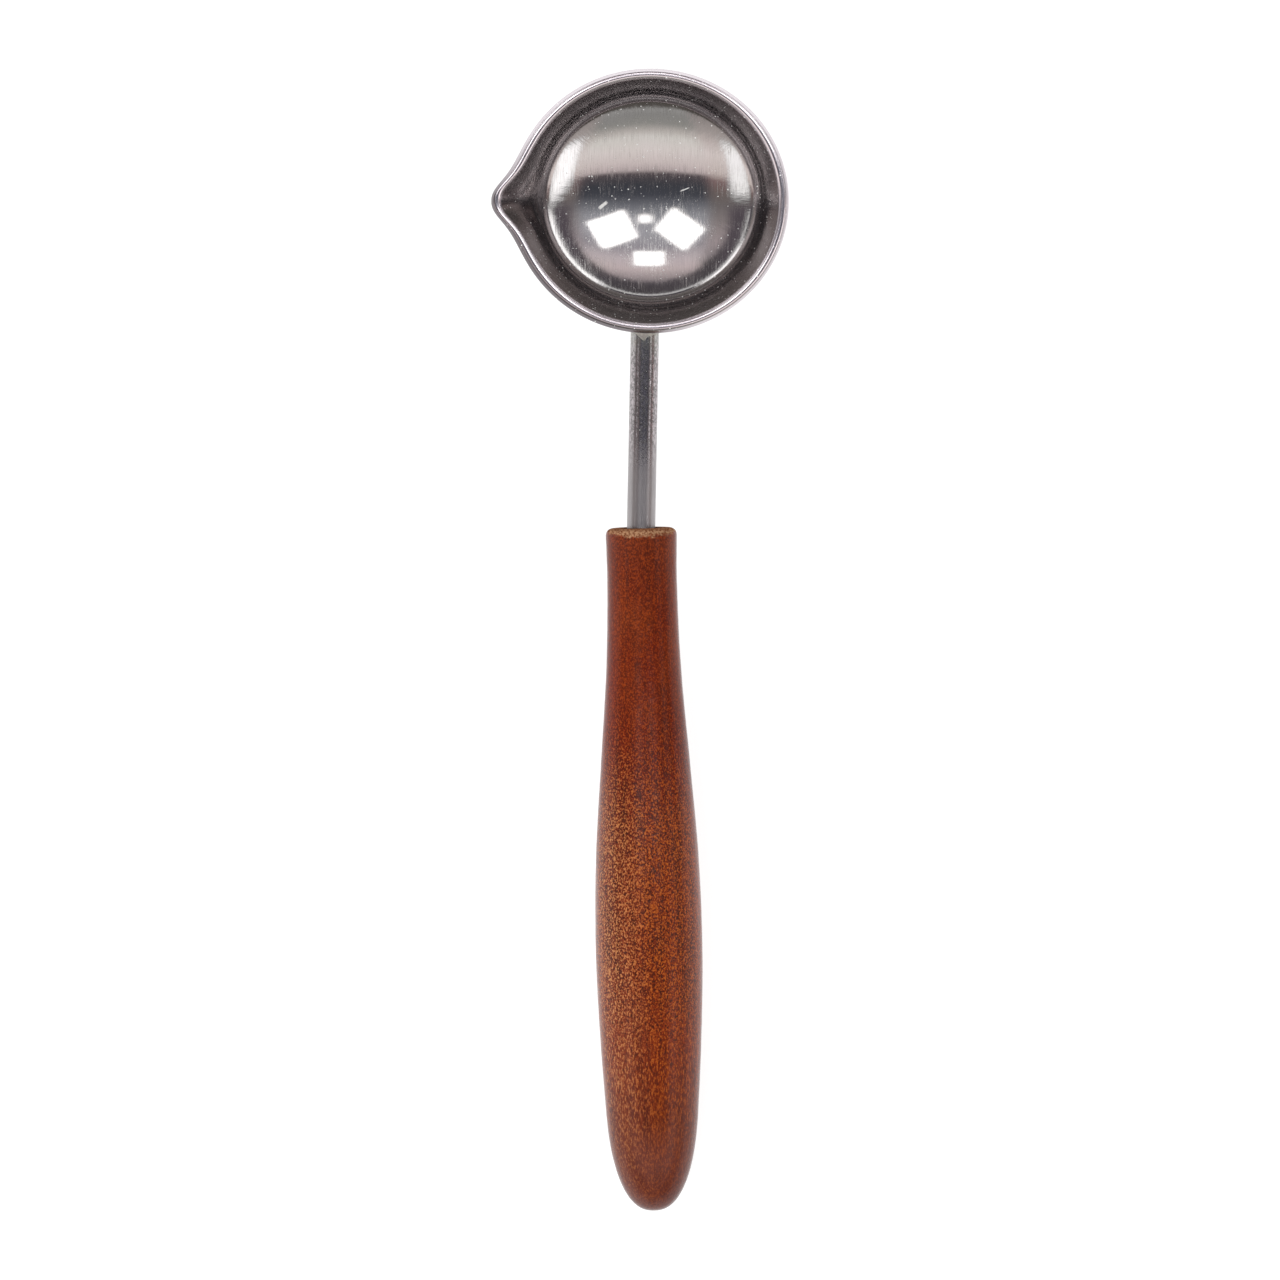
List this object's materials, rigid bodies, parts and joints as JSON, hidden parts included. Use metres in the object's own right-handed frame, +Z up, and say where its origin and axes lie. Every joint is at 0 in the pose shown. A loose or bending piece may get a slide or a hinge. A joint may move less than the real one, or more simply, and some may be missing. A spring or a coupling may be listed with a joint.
{
  "type": "wax melting spoon",
  "caption": "Small round steel ladle with a pouring spout on a steel rod and turned wooden grip, for melting wax over a flame and pouring it.",
  "frame": {"origin": "centre of the flat spot under the bowl, on the table it rests on", "axes": "+Z up from the table, +Y from the handle towards the bowl's far rim, spout towards -X; the bowl's axis and the handle lean by the few degrees they take when the spoon lies on a table"},
  "size_m": [0.0417, 0.1601, 0.0165],
  "materials": {
    "polished_steel": "polished stainless sheet with faint brush lines",
    "weld_metal": "dull weld metal",
    "drawn_steel": "drawn steel rod, slightly rough",
    "stained_hardwood": "red-brown stain under gloss lacquer",
    "clear_glue": "cured clear adhesive"
  },
  "bodies": {
    "root": {"bowl": "polished_steel", "weld_bead": "weld_metal", "shank_rod": "drawn_steel", "handle": "stained_hardwood", "adhesive": "clear_glue"}
  },
  "joints": []
}
